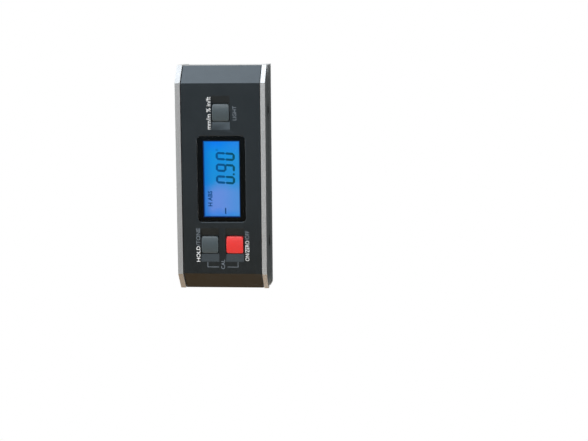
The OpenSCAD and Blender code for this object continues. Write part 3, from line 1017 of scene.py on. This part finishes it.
def dress_nodes(finish: Finish, *names: str) -> None:
    """Gives CAD nodes whose shape stays one finish.

    Args:
        finish: The finish.
        *names: The nodes.
    """
    material = finish.make()
    for name in names:
        dress(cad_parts[name], material)


def mount(bench: Bench, material: Material, body: Body, node: str = "") -> None:
    """Dresses a new piece and fastens it to its body.

    Args:
        bench: The bench that holds the piece.
        material: Its material.
        body: The body that it rides on.
        node: The CAD node that it stands for.
    """
    dress(bench.piece, material)
    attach(bench.piece, body.value)
    if node:
        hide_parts(node)
    log.info("mounted %s on %s", bench.piece.name, body.value)


@dataclass
class RailFrame:
    """The aluminium frame with its two base magnets."""

    broken_edge: float = 0.08 * MM

    def build(self) -> None:
        """Breaks the frame's edges and dresses frame and magnets."""
        rails = Bench.copy_of("frame", "rail_frame")
        rails.soften(self.broken_edge)
        mount(rails, ALUMINIUM.make(), Body.HOUSING, "frame")
        dress_nodes(SHADED_MAGNET, "left_magnet", "right_magnet")


@dataclass(frozen=True)
class Legend:
    """A printed word of the front panel: its area is left, right, foot and head, in millimetres."""

    name: str
    text: str
    area: Area
    ink: SurfaceFinish
    bold: float = 0.0


LEGENDS = (
    Legend("legend_hold", "HOLD", (-39.8, -32.3, 32.05, 33.85), INK_WHITE, 0.012),
    Legend("legend_tone", "/TONE", (-32.0, -23.6, 32.0, 33.9), INK_DIM),
    Legend("legend_on", "ON/ZERO", (-39.35, -29.6, 8.35, 10.25), INK_WHITE, 0.01),
    Legend("legend_off", "/OFF", (-29.4, -24.8, 8.3, 10.3), INK_DIM),
    Legend("legend_light", "LIGHT", (28.1, 34.8, 13.8, 15.55), INK_DIM),
    Legend("legend_units", "mm/m % in/ft", (23.8, 39.2, 26.0, 28.1), INK_WHITE, 0.008),
    Legend("legend_cal", "CAL", (-43.3, -38.75, 20.2, 22.0), INK_DIM),
)


@dataclass
class FrontPanel:
    """The black moulding of the front with its printed legends."""

    broken_edge: float = 0.1 * MM
    ramp_angle: float = 14.9
    window_chamfer: float = 0.4 * MM
    window_corner: float = 1.9 * MM
    window_gap: float = 0.05 * MM
    ink_thickness: float = 0.02 * MM
    bracket_left: float = -42.45 * MM
    bracket_right: float = -39.85 * MM
    bracket_foot: float = 13.75 * MM
    bracket_head: float = 28.6 * MM
    bracket_line: float = 0.24 * MM
    bracket_gap: Tuple[float, float] = (18.95 * MM, 23.1 * MM)

    def build(self) -> None:
        """Builds the moulding and prints the legends on it."""
        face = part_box("front_panel")[0].y
        moulding = Bench.copy_of("front_panel", "panel_moulding")
        moulding.cut(self.window_cutter(face))
        moulding.soften(self.broken_edge, self.ramp_angle)
        mount(moulding, PANEL.make(), Body.HOUSING, "front_panel")
        inks = {ink.name: ink.make() for ink in (INK_WHITE, INK_DIM)}
        for legend in LEGENDS:
            words = Bench.words(legend.name, legend.text, self.ink_thickness, legend.bold)
            words.fit(*thin_box(legend.area, face - self.ink_thickness, face))
            mount(words, inks[legend.ink.name], Body.HOUSING)
        mount(self.bracket(face), inks[INK_DIM.name], Body.HOUSING)

    def window_cutter(self, face: float) -> Bench:
        """Models the tapered block that chamfers the panel at the window's two ends.

        Args:
            face: The panel face's Y.

        Returns:
            The bench that holds it.
        """
        low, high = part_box("window_lens")
        reach = Vector((self.window_gap, 0.0, -self.window_gap))
        low, high = low - reach, high + reach
        low.y, high.y = face - self.window_chamfer, face + self.window_chamfer
        cutter = Bench.block("cutter", low, high)
        cutter.bevel(front_to_back, self.window_corner, segments=10)
        # The block is two chamfers deep and tapers at 45 degrees at both ends.
        swell = 1.0 + 4 * self.window_chamfer / (high.x - low.x)
        cutter.pick_faces(lambda centre, normal: normal.y < -FACING)
        with editing(cutter.piece, FACES_MODE):
            bpy.ops.transform.resize(value=(swell, 1.0, 1.0), center_override=(low + high) / 2)
        return cutter

    def bracket(self, face: float) -> Bench:
        """Models the printed bracket that joins the two left keys.

        Args:
            face: The panel face's Y.

        Returns:
            The bench that holds it.
        """
        line, front = self.bracket_line, face - self.ink_thickness
        left, right = self.bracket_left, self.bracket_right + line
        foot, head = self.bracket_foot, self.bracket_head
        bracket = Bench.block("legend_bracket", (left, front, foot), (right, face, head))
        bracket.drop(lambda centre, normal: normal.y > -FACING)
        bracket.inset(lambda centre, normal: True, line)
        bracket.drop(lambda centre, normal: centre.x > left + line and foot + line < centre.z < head - line)
        bracket.slice((self.bracket_right, 0.0, 0.0), (1.0, 0.0, 0.0))
        bracket.drop(lambda centre, normal: centre.x > self.bracket_right)
        for height in self.bracket_gap:
            bracket.slice((0.0, 0.0, height), (0.0, 0.0, 1.0))
        gap_low, gap_high = self.bracket_gap
        bracket.drop(lambda centre, normal: gap_low < centre.z < gap_high)
        bracket.modify("SOLIDIFY", thickness=self.ink_thickness, offset=0.0)
        return bracket


@dataclass
class Display:
    """The window lens with its printed border, and the lit liquid crystal.

    Areas are left, right, foot and head, in millimetres.
    """

    corner: float = 1.8 * MM
    polished_edge: float = 0.04 * MM
    border_thickness: float = 0.08 * MM
    border_gap: float = 0.01 * MM
    border_ends: float = 2.1 * MM
    border_sides: float = 2.8 * MM
    figure_thickness: float = 0.03 * MM
    figure_width: float = 3.95 * MM
    figure_foot: float = 15.0 * MM
    figure_height: float = 9.2 * MM
    stroke: float = 1.08 * MM
    tip_length: float = 0.9
    tip_width: float = 0.25
    slant: float = 3.6
    segment_gap: float = 0.03 * MM
    figures: Tuple[Tuple[str, float], ...] = (("abcdef", -2.7), ("abcdfg", 2.95), ("abcdef", 8.5))
    point_area: Area = (1.75, 2.65, 15.15, 16.05)
    point_corner: float = 0.2 * MM
    degree_area: Area = (13.4, 14.3, 23.2, 24.1)
    mark_text: str = "H ABS"
    mark_area: Area = (-13.2, -5.8, 26.05, 28.2)
    mark_bold: float = 0.03
    bar_area: Area = (-16.9, -13.95, 19.45, 20.05)
    bar_corner: float = 0.12 * MM

    def build(self) -> None:
        """Builds the lens, its border, the lit face and its figures."""
        low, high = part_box("window_lens")
        view = (
            (low.x + self.border_ends, low.z + self.border_sides),
            (high.x - self.border_ends, high.z - self.border_sides),
        )
        lens = self.lens(low, high)
        mount(lens, ClearPlate("lens_clear").make(), Body.HOUSING, "window_lens")
        border = self.border(low, high, view)
        mount(border, BORDER.make(), Body.HOUSING, "window_lens")
        glow = (
            (0.0, srgb(64, 136, 232)), (1.0, srgb(0, 120, 254)), (0.1, srgb(104, 144, 227)),
            (0.28, srgb(104, 146, 227)), (0.46, srgb(24, 146, 222)), (0.8, srgb(2, 148, 230)),
        )
        dress_nodes(BacklitGlass(
            "display_glow", *view, glow, lower=srgb(48, 152, 222), upper=srgb(0, 122, 216),
            rim=srgb(6, 44, 110)), "lcd_glass")
        ink = SegmentInk("display_ink", srgb(14, 66, 120), srgb(0, 78, 96), srgb(0, 84, 146)).make()
        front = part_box("lcd_glass")[0].y - self.figure_thickness
        for drawn in (self.reading(front), self.marks(front)):
            mount(drawn, ink, Body.HOUSING)

    def lens(self, low: Vector, high: Vector) -> Bench:
        """Models the clear plate with its polished front edge.

        Args:
            low: The lens's lowest corner.
            high: The lens's highest corner.

        Returns:
            The bench that holds it.
        """
        back = Vector((high.x, high.y - self.border_thickness - self.border_gap, high.z))
        plate = Bench.block("lens_plate", low, back)
        plate.bevel(front_to_back, self.corner, segments=10)
        plate.bevel(lambda a, b: max(a.y, b.y) < low.y + NEAR, self.polished_edge, segments=3)
        plate.smooth()
        return plate

    def border(self, low: Vector, high: Vector, view: Sequence[Tuple[float, float]]) -> Bench:
        """Models the black print on the lens's back, open over the lit area.

        Args:
            low: The lens's lowest corner.
            high: The lens's highest corner.
            view: The lit area's lowest X and Z, and its highest.

        Returns:
            The bench that holds it.
        """
        border = Bench.block("lens_border", (low.x, high.y - self.border_thickness, low.z), high)
        border.bevel(front_to_back, self.corner, segments=10)
        (left, foot), (right, head) = view
        for x in (left, right):
            border.slice((x, 0.0, 0.0), (1.0, 0.0, 0.0))
        for z in (foot, head):
            border.slice((0.0, 0.0, z), (0.0, 0.0, 1.0))
        border.drop(lambda centre, normal: left < centre.x < right and foot < centre.z < head)
        border.wall_hole()
        border.smooth()
        return border

    def segment(self, length: float) -> Bench:
        """Models one pointed segment along X at the origin.

        Args:
            length: Its length from point to point.

        Returns:
            The bench that holds it.
        """
        width, thick = self.stroke / 2, self.figure_thickness / 2
        half = length / 2 - width - self.segment_gap
        bar = Bench.block("segment", (-half, -thick, -width), (half, thick, width))
        for side in (1.0, -1.0):
            tip = (side * width * self.tip_length, 0.0, 0.0)
            bar.extrude(lambda centre, normal: normal.x * side > FACING, tip, (1.0, 1.0, self.tip_width))
        return bar

    def reading(self, front: float) -> Bench:
        """Models the reading as seven-segment figures in front of the lit face.

        Args:
            front: The Y of the figures' front.

        Returns:
            The bench that holds it.
        """
        stroke, width, height = self.stroke, self.figure_width, self.figure_height
        across, upright = self.segment(width - stroke), self.segment((height - stroke) / 2)
        left, middle, right = stroke / 2, width / 2, width - stroke / 2
        low, high = (height + stroke) / 4, (3 * height - stroke) / 4
        spots = {
            "a": (across, middle, height - stroke / 2), "g": (across, middle, height / 2),
            "d": (across, middle, stroke / 2), "f": (upright, left, high), "b": (upright, right, high),
            "e": (upright, left, low), "c": (upright, right, low),
        }
        lean = Matrix.Identity(4)
        lean[0][2] = math.tan(math.radians(self.slant))
        turns = {across: Matrix.Identity(4), upright: Matrix.Rotation(math.pi / 2, 4, "Y")}
        parts: List[Bench] = []
        for lit, start in self.figures:
            place = Matrix.Translation((start * MM, front, self.figure_foot)) @ lean
            for pattern, x, z in (spots[letter] for letter in lit):
                spot = place @ Matrix.Translation((x, 0.0, z)) @ turns[pattern]
                parts.append(pattern.copy("display_figures", spot))
        back = front + self.figure_thickness
        point = Bench.block("point", *thin_box(self.point_area, front, back))
        point.bevel(front_to_back, self.point_corner, segments=3)
        degree = Bench.words("degree", "°", self.figure_thickness)
        degree.fit(*thin_box(self.degree_area, front, back))
        parts[0].join(*parts[1:], point, degree)
        for pattern in (across, upright):
            pattern.discard()
        return parts[0]

    def marks(self, front: float) -> Bench:
        """Models the small marks beside the reading.

        Args:
            front: The Y of the marks' front.

        Returns:
            The bench that holds them.
        """
        back = front + self.figure_thickness
        marks = Bench.words("display_marks", self.mark_text, self.figure_thickness, self.mark_bold)
        marks.fit(*thin_box(self.mark_area, front, back))
        bar = Bench.block("bar", *thin_box(self.bar_area, front, back))
        bar.bevel(front_to_back, self.bar_corner, segments=2)
        marks.join(bar)
        return marks


@dataclass
class Keys:
    """The three sprung keys."""

    width: float = 8.12 * MM
    height: float = 8.05 * MM
    corner: float = 0.95 * MM
    rim: float = 0.25 * MM
    crown_faces: int = 9
    drum_faces: int = 88
    spare: float = 0.1 * MM
    lip_thickness: float = 0.9 * MM

    def build(self) -> None:
        """Models one key, copies it to its three places and dresses the copies."""
        pattern, start = self.model("hold_key")
        grey, red = KEY_GREY.make(), KEY_RED.make()
        placed = (
            ("hold_key", "hold_keycap", Body.HOLD, grey, "key_grey"),
            ("power_key", "power_keycap", Body.POWER, red, "key_red"),
            ("light_key", "light_keycap", Body.LIGHT, grey, "key_grey"),
        )
        for node, name, body, material, slot in placed:
            low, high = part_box(node)
            key = pattern.copy(name, Matrix.Translation((low + high) / 2 - start))
            key.smooth()
            mount(key, material, body, node)
        pattern.discard()

    def crown_drum(self, middle: Vector, front: float) -> Bench:
        """Models the drum whose round side gives the key its arched crown.

        Args:
            middle: The middle of the key's box.
            front: The Y of the crown's highest line.

        Returns:
            The bench that holds it.
        """
        radius = self.width / 2 / math.sin(math.pi * self.crown_faces / self.drum_faces)
        place = (middle.x, front + radius, middle.z)
        select_only()
        bpy.ops.mesh.primitive_cylinder_add(
            vertices=self.drum_faces, radius=radius, depth=2 * self.height, location=place)
        return Bench(bpy.context.object, "drum")

    def model(self, node: str) -> Tuple[Bench, Vector]:
        """Models a key in the place of one node.

        Args:
            node: The node whose box it fills.

        Returns:
            The bench that holds it, and the middle of the node's box.
        """
        low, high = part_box(node)
        middle = (low + high) / 2
        front, seat = low.y, high.y - self.lip_thickness
        half = Vector((self.width / 2, 0.0, self.height / 2))
        shank = Bench.block("key", (middle.x - half.x, front - self.spare, middle.z - half.z),
                            (middle.x + half.x, seat, middle.z + half.z))
        shank.bevel(front_to_back, self.corner, segments=6)
        shank.cut(self.crown_drum(middle, front), "INTERSECT")
        deep, end = (front + seat) / 2, half.x - NEAR
        shank.bevel(lambda a, b: max(a.y, b.y) < deep
                    and (abs(a.z - b.z) < half.z or abs(a.x - middle.x) > end), self.rim, segments=3)
        swell = ((high.x - low.x) / self.width, 1.0, (high.z - low.z) / self.height)
        shank.extrude(lambda centre, normal: normal.y > FACING, (0.0, NEAR, 0.0), swell)
        shank.extrude(lambda centre, normal: normal.y > FACING and centre.y > seat - NEAR,
                      (0.0, high.y - seat - 2 * NEAR, 0.0))
        return shank, middle


@dataclass
class RearSide:
    """The rear cover, the battery door and the case screws."""

    cover_edge: float = 0.18 * MM
    door_edge: float = 0.108 * MM

    def build(self) -> None:
        """Breaks the mouldings' edges and dresses them and the screws."""
        black = COVER.make()
        cover = Bench.copy_of("rear_cover", "rear_moulding")
        cover.soften(self.cover_edge)
        mount(cover, black, Body.HOUSING, "rear_cover")
        door = Bench.copy_of("battery_door", "door_moulding")
        door.soften(self.door_edge)
        mount(door, black, Body.DOOR, "battery_door")
        dress_nodes(SCREW, "case_screws")


@dataclass
class BatteryBay:
    """The two cells with their springs and contacts."""

    contacts: Tuple[str, ...] = ("lower_spring", "upper_spring", "left_contacts", "bridge_contact")

    def build(self) -> None:
        """Dresses the cells and contacts."""
        dress_nodes(CellSleeve("lower_sleeve", 1.0), "lower_cell")
        dress_nodes(CellSleeve("upper_sleeve", -1.0), "upper_cell")
        dress_nodes(PLATED, *self.contacts)


@dataclass
class Electronics:
    """The board and what it carries, inside the housing."""

    chips: Tuple[str, ...] = (
        "microcontroller", "tilt_sensor", "buzzer", "hold_switch", "power_switch", "light_switch",
        "hold_plunger", "power_plunger", "light_plunger",
    )

    def build(self) -> None:
        """Dresses every node that the housing hides."""
        dress_nodes(CHIP, *self.chips)
        dress_nodes(PLATED, "crystal", "board_screws")
        dress_nodes(BOARD, "circuit_board")
        dress_nodes(HOLDER, "lcd_holder")
        dress_nodes(GUIDE, "backlight", "backlight_led")
        dress_nodes(RUBBER, "rubber_connector")


@dataclass(frozen=True)
class Softbox:
    """A soft square lamp, as bright as its radiance says: 1 is white."""

    name: str
    place: Vec
    size: float
    radiance: float
    colour: Vec = (1.0, 1.0, 1.0)
    aim: Vec = (0.0, 0.0, 0.02)

    def build(self) -> None:
        """Hangs the lamp."""
        lamp = bpy.data.lights.new(self.name, "AREA")
        lamp.shape, lamp.size, lamp.color = "SQUARE", self.size, self.colour
        lamp.energy = math.pi * self.size ** 2 * self.radiance
        holder = bpy.data.objects.new(self.name, lamp)
        holder.location = self.place
        holder.rotation_euler = (Vector(self.aim) - Vector(self.place)).to_track_quat("-Z", "Y").to_euler()
        holder.visible_camera = False
        bpy.context.scene.collection.objects.link(holder)
        log.info("hung %s", self.name)


@dataclass
class Studio:
    """The floor, the light and the camera.

    Attributes:
        floor_half: Half the floor's width.
        floor_drop: How far the floor lies under the base.
        ambient: The strength of the world's light on plain surfaces.
        dark_way: The middle of the dark side that gloss and glass mirror.
        dark_front: The dark side's colour.
        dark_left: Its colour towards -X.
        dark_edge: Between which cosines the dark side fades in.
        dark_flat: How much the dark side is flattened along each axis.
        left_edge: Between which cosines to -X the dark side takes its left colour.
        warm_side: The mirrored colour at -X.
        warm_edge: Between which cosines it fades in.
        cream_side: The mirrored colour round it.
        cream_edge: Between which cosines that fades in.
        lens: The camera's focal length, in millimetres.
        sensor: The width of its sensor, in millimetres.
        clip: The nearest and furthest distance that it shows.
        eye: Its place.
        back: The way from what it looks at to it.
        up: The way that is up in the picture.
        lamps: The lamps.
    """

    floor_half: float = 4.0
    floor_drop: float = 0.4 * MM
    ambient: float = 0.62
    dark_way: Vec = (-0.342, -0.94, 0.0)
    dark_front: Colour = (0.06, 0.085, 0.1, 1.0)
    dark_left: Colour = (0.09, 0.045, 0.0, 1.0)
    dark_edge: Tuple[float, float] = (0.669, 0.819)
    dark_flat: Vec = (1.0, 1.0, 1.8)
    left_edge: Tuple[float, float] = (0.02, 0.3)
    warm_side: Colour = (0.25, 0.1, 0.0, 1.0)
    warm_edge: Tuple[float, float] = (0.74, 0.95)
    cream_side: Colour = (1.0, 0.95, 0.86, 1.0)
    cream_edge: Tuple[float, float] = (0.1, 0.74)
    lens: float = 85.714
    sensor: float = 36.0
    clip: Tuple[float, float] = (0.01, 50.0)
    eye: Vec = (0.07122, -0.67124, -0.07131)
    back: Vec = (0.136347, -0.986821, -0.087142)
    up: Vec = (0.990631, 0.136505, 0.00417)
    lamps: Tuple[Softbox, ...] = (
        Softbox("key_softbox", (0.75, -0.16, 0.22), 0.8, 1.45, (0.92, 1.0, 1.1)),
        Softbox("upper_softbox", (0.62, -0.66, 0.12), 0.5, 2.05, (0.88, 1.0, 1.1)),
        Softbox("front_softbox", (0.08, -0.93, 0.95), 0.7, 1.75),
        Softbox("warm_softbox", (-0.7, -0.22, 0.3), 0.5, 0.75, (1.0, 0.74, 0.42)),
        Softbox("rear_softbox", (-0.4, 0.9, 0.8), 0.7, 1.0),
    )

    def build(self) -> None:
        """Sets up the whole studio."""
        self.lay_floor()
        self.light_world()
        for lamp in self.lamps:
            lamp.build()
        self.place_camera()
        bpy.context.scene.view_settings.view_transform = "Standard"

    def lay_floor(self) -> None:
        """Lays the floor just under the base."""
        select_only()
        bpy.ops.mesh.primitive_plane_add(size=2 * self.floor_half)
        floor = bpy.context.object
        floor.name = "studio_floor"
        floor.data.transform(Matrix.Translation((0.0, 0.0, -self.floor_drop)))
        dress(floor, FloorPaint("floor_paint").make())

    def light_world(self) -> None:
        """Lights the world: white to the eye, with a dark, a warm and a cream side in gloss and glass."""
        world = bpy.data.worlds.new("studio_world")
        bpy.context.scene.world = world
        world.use_nodes = True
        world.node_tree.nodes.clear()
        sheet = NodeSheet(world.node_tree)
        path = sheet.add("LightPath").outputs
        unseen = sheet.math("SUBTRACT", 1.0, path["Is Camera Ray"])
        way = sheet.add("TexCoord").outputs["Generated"]
        flat = sheet.add("VectorMath", {0: way, 1: self.dark_flat}, operation="MULTIPLY").outputs[0]
        flat = sheet.add("VectorMath", {0: flat}, operation="NORMALIZE").outputs[0]
        facing, leftward = (
            sheet.add("VectorMath", {0: ray, 1: side}, operation="DOT_PRODUCT").outputs["Value"]
            for ray, side in ((flat, self.dark_way), (way, (-1.0, 0.0, 0.0))))
        sides = ((facing, self.dark_edge), (leftward, self.warm_edge), (leftward, self.cream_edge))
        dim, warmth, cream = (
            sheet.math("MULTIPLY", sheet.ramp(cosine, *edge), unseen) for cosine, edge in sides)
        tint = sheet.blend(warmth, sheet.blend(cream, WHITE, self.cream_side), self.warm_side)
        dark = sheet.blend(sheet.ramp(leftward, *self.left_edge), self.dark_front, self.dark_left)
        white = sheet.add("Background", {0: sheet.blend(dim, tint, dark), 1: 1.0}).outputs[0]
        plain = sheet.add("Background", {0: WHITE, 1: self.ambient}).outputs[0]
        seen = sheet.math("ADD", path["Is Camera Ray"], path["Is Glossy Ray"])
        seen = sheet.math("ADD", seen, path["Is Transmission Ray"], clamp=True)
        mixed = sheet.add("MixShader", {0: seen, 1: plain, 2: white}).outputs[0]
        sheet.add("OutputWorld", {"Surface": mixed})

    def place_camera(self) -> None:
        """Places the camera, with the level's length upright in the picture."""
        data = bpy.data.cameras.new("level_camera")
        data.lens, data.sensor_width = self.lens, self.sensor
        data.clip_start, data.clip_end = self.clip
        camera = bpy.data.objects.new("level_camera", data)
        bpy.context.scene.collection.objects.link(camera)
        back, up = Vector(self.back).normalized(), Vector(self.up)
        right = up.cross(back).normalized()
        turn = Matrix((right, back.cross(right), back)).transposed().to_4x4()
        camera.matrix_world = Matrix.Translation(self.eye) @ turn
        bpy.context.scene.camera = camera


def main() -> None:
    """Builds the shared effects, the studio and every sub-assembly of the level."""
    logging.basicConfig(level=logging.INFO, format="%(message)s")
    SharedEffects().build()
    Studio().build()
    for assembly in (RailFrame(), FrontPanel(), Display(), Keys(), RearSide(), BatteryBay(), Electronics()):
        log.info("building %s", type(assembly).__name__)
        assembly.build()


if __name__ == "__main__":
    main()
